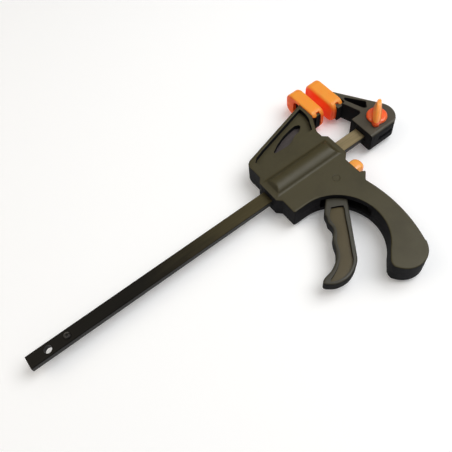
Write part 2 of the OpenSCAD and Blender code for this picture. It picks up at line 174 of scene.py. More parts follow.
# moulded plastic: spark-eroded grain of cells and fine noise, and slow clouds of gloss
def makeMouldGrain():
    s = grainShape
    tree, given, out = startGroup("mouldGrain", {"Cells per m": 1500.0, "Cloud per m": 70.0},
                                  ["Height", "Cloud"])
    coords = objectCoords(tree)
    cells = tree.nodes.new("ShaderNodeTexVoronoi")
    cells.feature = "SMOOTH_F1"
    cells.inputs["Smoothness"].default_value = s["smoothness"]
    tree.links.new(coords, cells.inputs["Vector"])
    tree.links.new(given["Cells per m"], cells.inputs["Scale"])
    fineScale = mathNode(tree, "MULTIPLY", given["Cells per m"], s["fineScale"])
    fine = noiseAt(tree, coords, fineScale, s["fineNoise"])
    height = mathNode(tree, "MULTIPLY_ADD", cells.outputs["Distance"], s["cellHeight"], fine)
    tree.links.new(height, out["Height"])
    cloud = noiseAt(tree, coords, given["Cloud per m"], s["cloudNoise"])
    tree.links.new(smoothStep(tree, cloud, *s["cloudFrom"]), out["Cloud"])
    return tree


dustAndLightShape = {"patchNoise": (5.0, 0.62), "patchDepth": 0.7, "least": 0.62}


# a mask of the faces that look up, broken up by noise: where they get dusty and handled, and where
# the materials paint them paler as painted light
def makeDustAndLight():
    s = dustAndLightShape
    tree, given, out = startGroup("dustAndLightFaces", {"Patch per m": 45.0, "Low": 0.2, "High": 0.95},
                                  ["Mask"])
    tex = tree.nodes.new("ShaderNodeTexCoord").outputs
    up = smoothStep(tree, splitAxes(tree, tex["Normal"])["Z"], given["Low"], given["High"])
    patch = noiseAt(tree, tex["Object"], given["Patch per m"], s["patchNoise"])
    soft = mathNode(tree, "MULTIPLY_ADD", patch, s["patchDepth"], s["least"], clamp=True)
    tree.links.new(mathNode(tree, "MULTIPLY", up, soft), out["Mask"])
    return tree


# 0 below one height and 1 above another, in m
def makeHeightBand():
    tree, given, out = startGroup("heightBand", {"Low": 0.0, "High": 0.01}, ["Mask"])
    height = splitAxes(tree, objectCoords(tree))["Z"]
    tree.links.new(smoothStep(tree, height, given["Low"], given["High"]), out["Mask"])
    return tree


streakShape = {"streakNoise": (3.0, 0.6), "streakStretch": (0.02, 1.0, 1.0),
               "blotchNoise": (5.0, 0.65), "blotchStretch": (0.45, 1.0, 1.0),
               "blotchFrom": (0.36, 0.68)}


# drawn or brushed steel: fine streaks along X, and blotches of oil and handling
def makeSteelStreaks():
    s = streakShape
    tree, given, out = startGroup("steelStreaks", {"Streak per m": 900.0, "Blotch per m": 60.0},
                                  ["Streak", "Blotch"])
    coords = objectCoords(tree)
    streak = noiseAt(tree, coords, given["Streak per m"], s["streakNoise"], s["streakStretch"])
    tree.links.new(streak, out["Streak"])
    blotch = noiseAt(tree, coords, given["Blotch per m"], s["blotchNoise"], s["blotchStretch"])
    tree.links.new(smoothStep(tree, blotch, *s["blotchFrom"]), out["Blotch"])
    return tree


groups = {"grain": makeMouldGrain(), "dustAndLight": makeDustAndLight(), "height": makeHeightBand(),
          "streaks": makeSteelStreaks()}
print("shader groups made")


def startMaterial(name, **sockets):
    m = bpy.data.materials.new(name)
    m.use_nodes = True
    shader = m.node_tree.nodes["Principled BSDF"]
    for key, value in sockets.items():
        shader.inputs[key.replace("_", " ")].default_value = value
    return m, m.node_tree, shader.inputs


def useGroup(tree, key, **values):
    n = tree.nodes.new("ShaderNodeGroup")
    n.node_tree = groups[key]
    for label, value in values.items():
        n.inputs[label.replace("_", " ")].default_value = value
    return n.outputs


def aboveHeight(tree, low, high):
    return useGroup(tree, "height", Low=low * mm, High=high * mm)["Mask"]


# depth is the full height of the relief in mm
def bumpFrom(tree, shader, height, depth, strength):
    n = tree.nodes.new("ShaderNodeBump")
    n.inputs["Strength"].default_value = strength
    n.inputs["Distance"].default_value = depth * mm
    tree.links.new(height, n.inputs["Height"])
    tree.links.new(n.outputs["Normal"], shader["Normal"])


# side is the drawn walls; top is the faces that look up, paler partly because they are dusty and
# handled and partly as painted light; hollow is the up-facing floors of deep pockets, painted shade
# where darker (the jaw) and painted light where paler (the housing's eye, the trigger's sunk panel);
# hollow turns into top between the two heights of hollowTo, in mm above the middle; all is what the
# three plastics share, and grain is the relief's height in mm and its strength
darkPlastic = {
    "housing": {"side": (0.008, 0.008, 0.009), "hollow": (0.064, 0.052, 0.050),
                "top": (0.054, 0.045, 0.018), "rough": (0.38, 0.52), "sheen": 0.4,
                "hollowTo": (1.5, 3.2)},
    "jaw": {"side": (0.008, 0.008, 0.009), "hollow": (0.016, 0.013, 0.011),
            "top": (0.064, 0.055, 0.036), "rough": (0.38, 0.52), "sheen": 0.5,
            "hollowTo": (2.5, 6.0)},
    "trigger": {"side": (0.009, 0.009, 0.010), "hollow": (0.070, 0.052, 0.018),
                "top": (0.044, 0.040, 0.027), "rough": (0.32, 0.46), "sheen": 0.45,
                "hollowTo": (3.5, 4.1)},
    "all": {"specular": 0.12, "coatRough": 0.42, "cells": 1500.0, "clouds": 60.0, "patches": 40.0,
            "upperHalf": (-0.6, 0.4), "sideRough": 0.8, "mottle": 1.35, "grain": (0.06, 0.6)},
}


def makeDarkPlastic(name, look):
    skin = darkPlastic["all"]
    m, tree, shader = startMaterial(name, Specular_IOR_Level=skin["specular"],
                                    Coat_Roughness=skin["coatRough"])
    grain = useGroup(tree, "grain", Cells_per_m=skin["cells"], Cloud_per_m=skin["clouds"])
    up = useGroup(tree, "dustAndLight", Patch_per_m=skin["patches"])["Mask"]
    # up-facing faces below the middle keep the side colour: painted shade inside the moulding
    inside = aboveHeight(tree, *(midPlane + h for h in skin["upperHalf"]))
    raised = aboveHeight(tree, *(midPlane + h for h in look["hollowTo"]))
    paler = tuple(c * skin["mottle"] for c in look["side"])
    side = mixColour(tree, grain["Cloud"], look["side"], paler)
    upper = mixColour(tree, raised, look["hollow"], look["top"])
    dustyAndLit = mathNode(tree, "MULTIPLY", up, inside)
    tree.links.new(mixColour(tree, dustyAndLit, side, upper), shader["Base Color"])
    gloss = mixValue(tree, grain["Cloud"], *look["rough"])
    tree.links.new(mixValue(tree, dustyAndLit, skin["sideRough"], gloss), shader["Roughness"])
    tree.links.new(mathNode(tree, "MULTIPLY", dustyAndLit, look["sheen"]), shader["Coat Weight"])
    bumpFrom(tree, shader, grain["Height"], *skin["grain"])
    return m


# lit is a painted glow, an emission that stands in for the light that comes through the soft orange
# at its sides, and finLit the same on the knob's fin;
# deep and light are a shaded and a lit copy of the orange: faces that look up from paleFrom on take
# the light one, painted light, and the sides the deep one, painted shade;
# disc and fin are the heights in mm at which the knob's disc and its paler fin start; the disc keeps
# only discPale of the light one, a painted shadow of the fin, and the fin takes finPale of it,
# painted light;
# the body is the deep colour, with mottle of the light one in its clouds
orangeLook = {
    "rubber": {"deep": (1.0, 0.085, 0.008), "light": (0.98, 0.34, 0.036), "rough": (0.40, 0.54),
               "sheen": 0.25, "coatRough": 0.3, "cells": 1100.0, "paleFrom": -0.2,
               "lit": (0.09, 0.005, 0.001)},
    "knob": {"deep": (1.0, 0.075, 0.008), "light": (0.98, 0.40, 0.070), "rough": (0.28, 0.40),
             "sheen": 0.8, "coatRough": 0.16, "cells": 1700.0, "paleFrom": -0.9,
             "lit": (0.0, 0.0, 0.0), "finLit": (0.17, 0.038, 0.005), "disc": 19, "fin": 24.8,
             "discPale": 0.1, "finPale": 0.9},
    "all": {"specular": 0.25, "soft": 0.4, "softDepth": 4.0, "softReach": (1.0, 0.35, 0.12),
            "clouds": 110.0, "patches": 90.0, "mottle": 0.2, "sideRough": 0.75,
            "grain": (0.05, 0.5)},
}


def makeOrange(name, look):
    skin = orangeLook["all"]
    m, tree, shader = startMaterial(name, Specular_IOR_Level=skin["specular"],
                                    Subsurface_Weight=skin["soft"],
                                    Subsurface_Scale=skin["softDepth"] * mm,
                                    Subsurface_Radius=skin["softReach"],
                                    Coat_Weight=look["sheen"], Coat_Roughness=look["coatRough"],
                                    Emission_Strength=1.0)
    grain = useGroup(tree, "grain", Cells_per_m=look["cells"], Cloud_per_m=skin["clouds"])
    # faces that look up get the light orange, painted light; the sides keep the deep one and the
    # painted glow
    up = useGroup(tree, "dustAndLight", Patch_per_m=skin["patches"], Low=look["paleFrom"],
                  High=1.0)["Mask"]
    mottled = tuple((1 - skin["mottle"]) * a + skin["mottle"] * b
                    for a, b in zip(look["deep"], look["light"]))
    body = mixColour(tree, grain["Cloud"], look["deep"], mottled)
    pale = up
    glow = mixColour(tree, up, look["lit"], (0.0, 0.0, 0.0))
    if "fin" in look:
        # the disc stays deeper, a painted shadow of the fin; the fin is paler and glows, painted
        # light
        onDisc, onFin = (aboveHeight(tree, look[part], look[part] + 1) for part in ("disc", "fin"))
        pale = mathNode(tree, "MULTIPLY", up, mixValue(tree, onDisc, 1.0, look["discPale"]))
        pale = mixValue(tree, onFin, pale, look["finPale"])
        glow = mixColour(tree, onFin, glow, look["finLit"])
    tree.links.new(mixColour(tree, pale, body, look["light"]), shader["Base Color"])
    tree.links.new(glow, shader["Emission Color"])
    gloss = mixValue(tree, grain["Cloud"], *look["rough"])
    tree.links.new(mixValue(tree, up, skin["sideRough"], gloss), shader["Roughness"])
    bumpFrom(tree, shader, grain["Height"], *skin["grain"])
    return m


steelLook = {
    "pin": {"deep": (0.055, 0.052, 0.048), "light": (0.12, 0.115, 0.10), "rough": (0.32, 0.5),
            "metal": 0.85, "streak": 1600.0},
    "plate": {"deep": (0.24, 0.23, 0.21), "light": (0.40, 0.39, 0.37), "rough": (0.3, 0.46),
              "metal": 1.0, "streak": 1400.0},
    "zinc": {"deep": (0.42, 0.42, 0.41), "light": (0.62, 0.62, 0.60), "rough": (0.22, 0.38),
             "metal": 1.0, "streak": 2200.0},
    "wire": {"deep": (0.34, 0.34, 0.33), "light": (0.55, 0.55, 0.54), "rough": (0.2, 0.34),
             "metal": 1.0, "streak": 3000.0},
    "all": {"blotch": 220.0, "relief": (0.03, 0.5)},
}


def makeSteel(name, look):
    skin = steelLook["all"]
    m, tree, shader = startMaterial(name, Metallic=look["metal"])
    marks = useGroup(tree, "streaks", Streak_per_m=look["streak"], Blotch_per_m=skin["blotch"])
    colour = mixColour(tree, marks["Blotch"], look["deep"], look["light"])
    tree.links.new(colour, shader["Base Color"])
    tree.links.new(mixValue(tree, marks["Streak"], *look["rough"]), shader["Roughness"])
    bumpFrom(tree, shader, marks["Streak"], *skin["relief"])
    return m


# The bar's black oxide is worn thinner and browner towards the head, where the housing rubs it, and
# a little more along the corners.
# On the narrow sides it is darker, partly the whole oxide and partly painted shade of the sides and
# their shadowed edges.
# Places along the bar (turnsAt, drift) are in m, and places across it (corner, sideFrom) in mm from
# its middle.
barLook = {
    "tail": (0.013, 0.012, 0.010), "middle": (0.085, 0.070, 0.034), "head": (0.27, 0.215, 0.120),
    "turnsAt": (-0.08, 0.072, 0.102), "drift": 0.018, "rough": (0.30, 0.5), "metal": 0.55,
    "corner": (3.6, 4.2), "cornerWear": 0.05, "side": (0.010, 0.010, 0.009), "sideFrom": (4.7, 5.0),
    "streaks": ((0.6, 0.6, 0.6), (1.35, 1.33, 1.28)), "specular": 0.15, "streak": 1500.0,
    "blotch": 55.0, "relief": (0.04, 0.4),
}


def makeBarSteel():
    look = barLook
    m, tree, shader = startMaterial("blackOxideBar", Specular_IOR_Level=look["specular"])
    marks = useGroup(tree, "streaks", Streak_per_m=look["streak"], Blotch_per_m=look["blotch"])
    place = splitAxes(tree, objectCoords(tree))
    along = mathNode(tree, "MULTIPLY_ADD", marks["Blotch"], look["drift"], place["X"])
    across = mathNode(tree, "SUBTRACT", place["Y"], barLine * mm)
    across = mathNode(tree, "ABSOLUTE", across)
    brownFrom, wornFrom, wornTo = look["turnsAt"]
    browned = smoothStep(tree, along, brownFrom, wornFrom)
    worn = smoothStep(tree, along, wornFrom, wornTo)
    colour = mixColour(tree, browned, look["tail"], look["middle"])
    colour = mixColour(tree, worn, colour, look["head"])
    corner = smoothStep(tree, across, *(w * mm for w in look["corner"]))
    rubbed = mathNode(tree, "MULTIPLY", corner, browned)
    rubbed = mathNode(tree, "MULTIPLY", rubbed, look["cornerWear"])
    colour = mixColour(tree, rubbed, colour, look["head"])
    # darker on the narrow sides: the whole oxide, and partly painted shade of the sides
    onSide = smoothStep(tree, across, *(w * mm for w in look["sideFrom"]))
    colour = mixColour(tree, onSide, colour, look["side"])
    streaks = mixColour(tree, marks["Streak"], *look["streaks"])
    colour = mixColour(tree, 1.0, colour, streaks, "MULTIPLY")
    tree.links.new(colour, shader["Base Color"])
    tree.links.new(mixValue(tree, onSide, look["metal"], 0.0), shader["Metallic"])
    tree.links.new(mixValue(tree, marks["Streak"], *look["rough"]), shader["Roughness"])
    bumpFrom(tree, shader, marks["Streak"], *look["relief"])
    return m


finish = {
    "housing_plastic": makeDarkPlastic("warmBlackPlastic", darkPlastic["housing"]),
    "jaw_plastic": makeDarkPlastic("jawBlackPlastic", darkPlastic["jaw"]),
    "trigger_plastic": makeDarkPlastic("triggerBlackPlastic", darkPlastic["trigger"]),
    "pad_rubber": makeOrange("orangeRubber", orangeLook["rubber"]),
    "orange_plastic": makeOrange("orangePlastic", orangeLook["knob"]),
    "bar_steel": makeBarSteel(),
    "pin_steel": makeSteel("darkPinSteel", steelLook["pin"]),
    "plate_steel": makeSteel("hardPlateSteel", steelLook["plate"]),
    "zinc_steel": makeSteel("brightZinc", steelLook["zinc"]),
    "spring_steel": makeSteel("springWire", steelLook["wire"]),
}

slotOf = {row["node"]: row["material_slot"] for row in frame["record"]["subparts"]}
bodyOf = {n: b for b, nodes in frame["record"]["behaviour"]["bodies"].items() for n in nodes}
for name, node in frame["nodes"].items():
    node.data.materials.clear()
    node.data.materials.append(finish[slotOf[name]])
print("materials made:", len(finish))


def dress(piece, *nodes):
    first = nodes[0]
    piece.data.materials.clear()
    piece.data.materials.append(finish[slotOf[first]])
    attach(piece, bodyOf[first])
    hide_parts(*nodes)
    return piece


def smoothShade(mesh, sharpFrom=None):
    mesh.polygons.foreach_set("use_smooth", np.ones(len(mesh.polygons), dtype=bool))
    if sharpFrom:
        mesh.set_sharp_from_angle(angle=math.radians(sharpFrom))


# rings: an array of rings by points by 3, in mm; each ring is joined to the next,
# and the first and last ring are closed with one point in their middle
def ringSurface(name, rings, sharpFrom=60):
    count, around = rings.shape[:2]
    ends = np.stack([rings[0].mean(axis=0), rings[-1].mean(axis=0)])
    verts = np.concatenate([rings.reshape(-1, 3), ends]) * mm
    i, j = np.meshgrid(np.arange(count - 1), np.arange(around), indexing="ij")
    k = (j + 1) % around
    quads = np.stack([i * around + j, i * around + k, (i + 1) * around + k, (i + 1) * around + j],
                     axis=-1).reshape(-1, 4)
    j = np.arange(around)
    k = (j + 1) % around
    low = np.stack([np.full(around, count * around), k, j], axis=-1)
    last = (count - 1) * around
    high = np.stack([np.full(around, count * around + 1), last + j, last + k], axis=-1)
    mesh = bpy.data.meshes.new(name)
    mesh.from_pydata(verts.tolist(), [], quads.tolist() + low.tolist() + high.tolist())
    # outward faces: the volume that the faces enclose has to come out positive
    bm = bmesh.new()
    bm.from_mesh(mesh)
    if bm.calc_volume(signed=True) < 0:
        bmesh.ops.reverse_faces(bm, faces=bm.faces)
    bm.to_mesh(mesh)
    bm.free()
    smoothShade(mesh, sharpFrom)
    piece = bpy.data.objects.new(name, mesh)
    scene.collection.objects.link(piece)
    return piece


# the mesh that a piece's modifiers make, with the modifiers gone
def settle(piece):
    deps = bpy.context.evaluated_depsgraph_get()
    made = bpy.data.meshes.new_from_object(piece.evaluated_get(deps))
    piece.modifiers.clear()
    piece.data = made
    return piece


# how near counts as the same, lengths in m, and the angles in degrees from which two faces
# count as bent and an edge gets a rounding
sameness = {"weld": 2e-6, "seam": 2e-5, "plane": 1e-5, "level": 4e-6, "levelNormal": 0.9999,
            "netPoint": 1e-8, "bent": 1.0, "corner": 30}


def planeOf(face):
    n, c = face.normal, face.verts[0].co
    if abs(n.z) > sameness["levelNormal"]:
        return "level", round(n.z), round(c.z / sameness["level"])
    return round(n.x, 3), round(n.y, 3), round(n.z, 3), round(n.dot(c) / sameness["plane"])


# Each flat region is filled again with the triangles of a constrained Delaunay net
# through its border. A triangle is kept where a ray from its middle crosses the border
# an odd number of times, so holes stay open.
def refillFlats(bm):
    bm.normal_update()
    netPoint = sameness["netPoint"] / mm
    regions = {}
    for f in bm.faces:
        regions.setdefault(planeOf(f), []).append(f)
    for faces in regions.values():
        if max(len(f.verts) for f in faces) <= 4:
            continue  # triangles and quads are whole already
        inside = set(faces)
        border = [e for e in dict.fromkeys(e for f in faces for e in f.edges)
                  if sum(f in inside for f in e.link_faces) == 1]
        verts = list(dict.fromkeys(v for e in border for v in e.verts))
        index = {v: i for i, v in enumerate(verts)}
        normal = sum((f.normal * f.calc_area() for f in faces), Vector()).normalized()
        side = normal.orthogonal().normalized()
        up = normal.cross(side)
        origin = verts[0].co.copy()
        flat = [Vector(((v.co - origin).dot(side), (v.co - origin).dot(up))) / mm for v in verts]
        pairs = [(index[e.verts[0]], index[e.verts[1]]) for e in border]
        points, _, tris, source, _, _ = delaunay_2d_cdt(flat, pairs, [], 0, netPoint)
        pts = np.array([tuple(p) for p in points])
        tri = np.array([t for t in tris if len(t) == 3])
        mid = pts[tri].mean(axis=1)
        ends = np.array([[tuple(flat[i]), tuple(flat[j])] for i, j in pairs])
        (x0, y0), (x1, y1) = ends[:, 0].T, ends[:, 1].T
        crosses = (y0[None] > mid[:, 1:]) != (y1[None] > mid[:, 1:])
        slope = (x1 - x0) / np.where(y1 == y0, 1, y1 - y0)  # a level edge is never crossed
        hit = mid[:, :1] < x0[None] + slope[None] * (mid[:, 1:] - y0[None])
        keep = tri[(crosses & hit).sum(axis=1) % 2 == 1]
        bmesh.ops.delete(bm, geom=faces, context="FACES_ONLY")
        corner = [verts[source[i][0]] if source[i] else
                  bm.verts.new(origin + (side * points[i][0] + up * points[i][1]) * mm)
                  for i in range(len(points))]
        for a, b, c in keep:
            three = (corner[a], corner[b], corner[c])
            if len(set(three)) == 3 and bm.faces.get(three) is None:
                bm.faces.new(three).smooth = True
    loose = [e for e in bm.edges if not e.link_faces]
    bmesh.ops.delete(bm, geom=loose, context="EDGES")
    bmesh.ops.delete(bm, geom=[v for v in bm.verts if not v.link_faces], context="VERTS")
    closeSeams(bm)


# where a border edge passes through the corner of its neighbour, it is split there and welded
def closeSeams(bm, passes=6):
    for _ in range(passes):
        border = [e for e in bm.edges if len(e.link_faces) == 1]
        corners = list(dict.fromkeys(v for e in border for v in e.verts))
        for e in border:
            a, b = e.verts
            along = b.co - a.co
            for v in corners:
                t = (v.co - a.co).dot(along) / along.length_squared
                off = (a.co + along * t - v.co).length
                if v not in (a, b) and 0 < t < 1 and off < sameness["seam"]:
                    _, new = bmesh.utils.edge_split(e, a, t)
                    new.co = v.co
                    break
        bmesh.ops.remove_doubles(bm, verts=bm.verts, dist=sameness["weld"])
        if all(len(e.link_faces) == 2 for e in bm.edges):
            break
    bmesh.ops.recalc_face_normals(bm, faces=bm.faces)
    turned = [f for f in bm.faces if not any(e.is_contiguous for e in f.edges)]
    bmesh.ops.reverse_faces(bm, faces=turned)
    bm.normal_update()


# a merged copy of a CAD node, its flat faces made whole, with the radius in mm that
# edgeRadius(edge) gives worked into each edge
def softCopy(node, name, edgeRadius, segments=3):
    mesh = frame["nodes"][node].data.copy()
    mesh.name = name
    mesh.attributes.remove(mesh.attributes["custom_normal"])
    bm = bmesh.new()
    bm.from_mesh(mesh)
    bmesh.ops.remove_doubles(bm, verts=bm.verts, dist=sameness["weld"])
    bmesh.ops.dissolve_limit(bm, angle_limit=math.radians(sameness["bent"]), verts=bm.verts,
                             edges=bm.edges)
    weight = bm.edges.layers.float.new("bevel_weight_edge")
    sharpest = math.radians(sameness["corner"])
    radii = {e: edgeRadius(e) for e in bm.edges
             if len(e.link_faces) == 2 and abs(e.calc_face_angle_signed()) > sharpest}
    widest = max(radii.values())
    for e, r in radii.items():
        e[weight] = r / widest
    bm.to_mesh(mesh)
    bm.free()
    smoothShade(mesh)
    piece = bpy.data.objects.new(name, mesh)
    scene.collection.objects.link(piece)
    rounding = piece.modifiers.new("rounding", "BEVEL")
    rounding.width = widest * mm
    rounding.segments = segments
    rounding.limit_method = "WEIGHT"
    rounding.use_clamp_overlap = False
    settle(piece)
    bm = bmesh.new()
    bm.from_mesh(piece.data)
    refillFlats(bm)
    bm.to_mesh(piece.data)
    bm.free()
    steadyShade(piece)
    return piece


# large flat faces stay flat in the shading, and only the roundings turn
def steadyShade(piece, sharpFrom=42):
    smoothShade(piece.data, sharpFrom)
    flat = piece.modifiers.new("flatFaces", "WEIGHTED_NORMAL")
    flat.keep_sharp = True
    flat.weight = 100  # the larger face wins outright


# What an edge's radius depends on, in mm: its middle and its height off the middle plane, the
# least and greatest height of its two faces, and whether the edge is level, lies in a hollow
# and borders an upright face. Edges under the shortest length stay sharp.
edgeLimits = {"shortest": 0.08, "level": 0.01, "sameHeight": 0.02, "atMiddle": 0.05,
              "upright": 0.1}


def edgeFacts(edge):
    a, b = (v.co / mm for v in edge.verts)
    mid = (a + b) / 2
    heights = [v.co.z / mm for f in edge.link_faces for v in f.verts]
    level = abs(a.z - b.z) < edgeLimits["level"]
    hollow = edge.calc_face_angle_signed() < 0
    upright = min(abs(f.normal.z) for f in edge.link_faces) < edgeLimits["upright"]
    return mid, abs(mid.z - midPlane), min(heights), max(heights), level, hollow, upright


def tooShort(edge):
    a, b = (v.co / mm for v in edge.verts)
    return (a - b).length < edgeLimits["shortest"]


# ribLine is where the outer rib of the arm begins: an X and Y from the bar, and its slope
shellEdges = {
    "outline": 1.0, "rib": 1.8, "rim": 0.5, "ribRim": 0.6, "parting": 0.25, "crest": 0.6,
    "foot": 1.2, "halfThick": 9.0, "startsAt": 37, "wallHeight": 8.5, "ribLine": (45, 27, 0.2),
}


def shellRadius(edge):
    s = shellEdges
    mid, z, low, high, level, hollow, upright = edgeFacts(edge)
    if mid.x < s["startsAt"] or tooShort(edge):
        return 0.0
    if level and z < edgeLimits["sameHeight"]:
        outer = upright and high - low > s["wallHeight"]
        return s["parting"] if outer and not hollow else 0.0
    if level and abs(z - s["halfThick"]) < edgeLimits["sameHeight"]:
        if hollow:
            return s["foot"]
        toMiddle = min(abs(low - midPlane), abs(high - midPlane))
        wholeWall = toMiddle < edgeLimits["atMiddle"]
        ribX, ribY, slope = s["ribLine"]
        onRib = mid.y > barLine + ribY + slope * (mid.x - ribX)
        if wholeWall:
            return s["rib" if onRib else "outline"]
        return s["ribRim" if onRib else "rim"]
    if z > s["halfThick"] and not hollow:
        return s["crest"]
    return 0.0


for node in ("left_shell", "right_shell"):
    dress(softCopy(node, node.replace("_s", "S") + "Moulding", shellRadius), node)
print("housing shells softened")


# an edge of the top and bottom faces: the outline where a whole wall hangs from it, else the
# rim of a pocket
def faceEdgeRadius(edge, s):
    mid, z, low, high, level, hollow, _ = edgeFacts(edge)
    if hollow or tooShort(edge) or mid.y > s["endsAt"]:
        return 0.0
    if level and abs(z - s["halfThick"]) < edgeLimits["sameHeight"]:
        return s["outline"] if high - low > s["wallHeight"] else s["rim"]
    return 0.0


jawEdges = {"outline": 0.9, "rim": 0.5, "halfThick": 8.5, "wallHeight": 10, "endsAt": math.inf}


def jawRadius(edge):
    return faceEdgeRadius(edge, jawEdges)


dress(softCopy("fixed_jaw", "fixedJawMoulding", jawRadius), "fixed_jaw")
print("fixed jaw softened")


# endRadii and the corners of a cut are the radii at the end near the bar and at the far one;
# the cuts run past the pad, and the mouth's overlaps the slot's
padShape = {
    "endRadii": (6.0, 6.5), "faceEdge": 2.4, "backEdge": 1.3, "wall": 4.0,
    "faceInsets": (6.5, 4.2), "backInset": 2.6, "leastRadius": 0.4, "past": 3.0, "pastBack": 1.0,
    "pastSides": 2.0, "overlap": 0.1, "cutEdge": 0.3, "cutEdgeFrom": 50,
    "slotDepth": 4.0, "slotHalf": 7.05, "slotShort": 4.9, "slotCorners": (0.5, 4.0),
    "mouthHalf": 6.4, "mouthReach": 24.5, "mouthCorners": (0.5, 4.5), "mouthFlare": 1.08,
    "notch": (4.2, 7.2), "notchDepth": 3.0, "notchCorners": (0.4, 0.8), "edgeSteps": 8,
    "cornerSteps": 14, "cutSteps": 8, "notchSteps": 4,
}


# closed outline of a rectangle in Y and Z with a radius at each end, drawn in by inset:
# quarter circles of the radius less the inset, joined by straight sides, with steps points
# to a quarter
def padOutline(low, high, half, inset, near, far, steps):
    a = np.linspace(0, np.pi / 2, steps)
    rn, rf = (max(r - inset, padShape["leastRadius"]) for r in (near, far))
    y0, y1, h = low + inset, high - inset, half - inset
    quarters = [
        (y1 - rf, h - rf, rf, 0), (y0 + rn, h - rn, rn, 1),
        (y0 + rn, -h + rn, rn, 2), (y1 - rf, -h + rf, rf, 3)]
    return np.concatenate([
        np.stack([cy + r * np.cos(a + q * np.pi / 2), cz + r * np.sin(a + q * np.pi / 2)], axis=-1)
        for cy, cz, r, q in quarters])


# a block between two places in X, for cutting a hollow; grow makes its last ring taller
def cutter(name, outline, x0, x1, grow):
    middle = outline.mean(axis=0)
    wide = middle + (outline - middle) * np.array([1.0, grow])
    rings = np.stack([np.c_[np.full(len(outline), x0), outline],
                      np.c_[np.full(len(outline), x1), wide]])
    return ringSurface(name, rings)


# The pad's skin is its outline carried along X: flat over the working face, drawn in and
# out again along quarter ellipses at both edges. Slot, mouth and notch are cut from it.
def makePad(node, name, facesHead):
    s = padShape
    low, high = (np.array(c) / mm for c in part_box(node))
    depth, half, zMid = high[0] - low[0], (high[2] - low[2]) / 2, (high[2] + low[2]) / 2
    a = np.linspace(0, np.pi / 2, s["edgeSteps"])
    stations = [(0.0, inset) for inset in s["faceInsets"]]
    stations += [(s["faceEdge"] * (1 - math.cos(t)), s["faceEdge"] * (1 - math.sin(t))) for t in a]
    stations += [(depth - s["backEdge"] * (1 - math.sin(t)), s["backEdge"] * (1 - math.cos(t)))
                 for t in a]
    stations += [(depth, s["backInset"])]

    def place(x):
        return high[0] - x if facesHead else low[0] + x

    rings = []
    for x, inset in stations:
        o = padOutline(low[1], high[1], half, inset, *s["endRadii"], s["cornerSteps"])
        rings.append(np.c_[np.full(len(o), place(x)), o[:, 0], o[:, 1] + zMid])
    pad = ringSurface(name, np.stack(rings))
    past = low[1] - s["past"]
    slot = padOutline(past, high[1] - s["slotShort"], s["slotHalf"], 0,
                      *s["slotCorners"], s["cutSteps"])
    mouth = padOutline(past, low[1] + s["mouthReach"], s["mouthHalf"], 0,
                       *s["mouthCorners"], s["cutSteps"])
    notch = padOutline(past, low[1] + s["notchDepth"], half + s["pastSides"], 0,
                       *s["notchCorners"], s["notchSteps"])
    back = s["wall"] + s["slotDepth"]
    cuts = [(slot, s["wall"], back, 1.0),
            (mouth, back - s["overlap"], depth + s["pastBack"], s["mouthFlare"]),
            (notch, *s["notch"], 1.0)]
    tools = []
    for i, (outline, x0, x1, grow) in enumerate(cuts):
        outline = outline + np.array([0, zMid])
        tools.append(cutter("padCutter%d" % i, outline, place(x0), place(x1), grow))
        cut = pad.modifiers.new("cut%d" % i, "BOOLEAN")
        cut.operation = "DIFFERENCE"
        cut.solver = "EXACT"
        cut.object = tools[-1]
    settle(pad)
    for tool in tools:
        bpy.data.objects.remove(tool)
    soften = pad.modifiers.new("cutEdges", "BEVEL")
    soften.width = s["cutEdge"] * mm
    soften.segments = 2
    soften.limit_method = "ANGLE"
    soften.angle_limit = math.radians(s["cutEdgeFrom"])
    settle(pad)
    steadyShade(pad)
    return dress(pad, node)


makePad("moving_pad", "movingPadRubber", True)
makePad("fixed_pad", "fixedPadRubber", False)
print("pads made")


# endsAt keeps the roundings to the lever, below the root that sits in the housing
triggerEdges = {"outline": 1.3, "rim": 0.25, "halfThick": 4.5, "wallHeight": 8, "endsAt": -6}


def triggerRadius(edge):
    return faceEdgeRadius(edge, triggerEdges)


dress(softCopy("trigger", "triggerMoulding", triggerRadius, 4), "trigger")
print("trigger softened")


# foot lists the rise and the inset of the rings at the disc's lower corner, and crown the last
# ring: the height of the fin's section, its scale and its place, heights below the top; turn
# is in degrees
knobShape = {
    "discHeight": 2.6, "discRadius": 7.75, "edge": 1.9, "foot": ((0, 0.5), (0.25, 0.12), (0.5, 0)),
    "finHalf": 10.35, "finFoot": 0.4, "root": 3.6, "tip": 1.5, "power": 2.6, "turn": 40.5,
    "fillet": 1.0, "filletPower": 6, "filletSpread": 0.25, "blend": 0.05,
    "crown": (0.05, 0.5, 0.02), "around": 240, "edgeRings": 4, "filletFrom": 0.15,
    "filletRings": 7, "finFrom": 0.06, "finRings": 16,
}


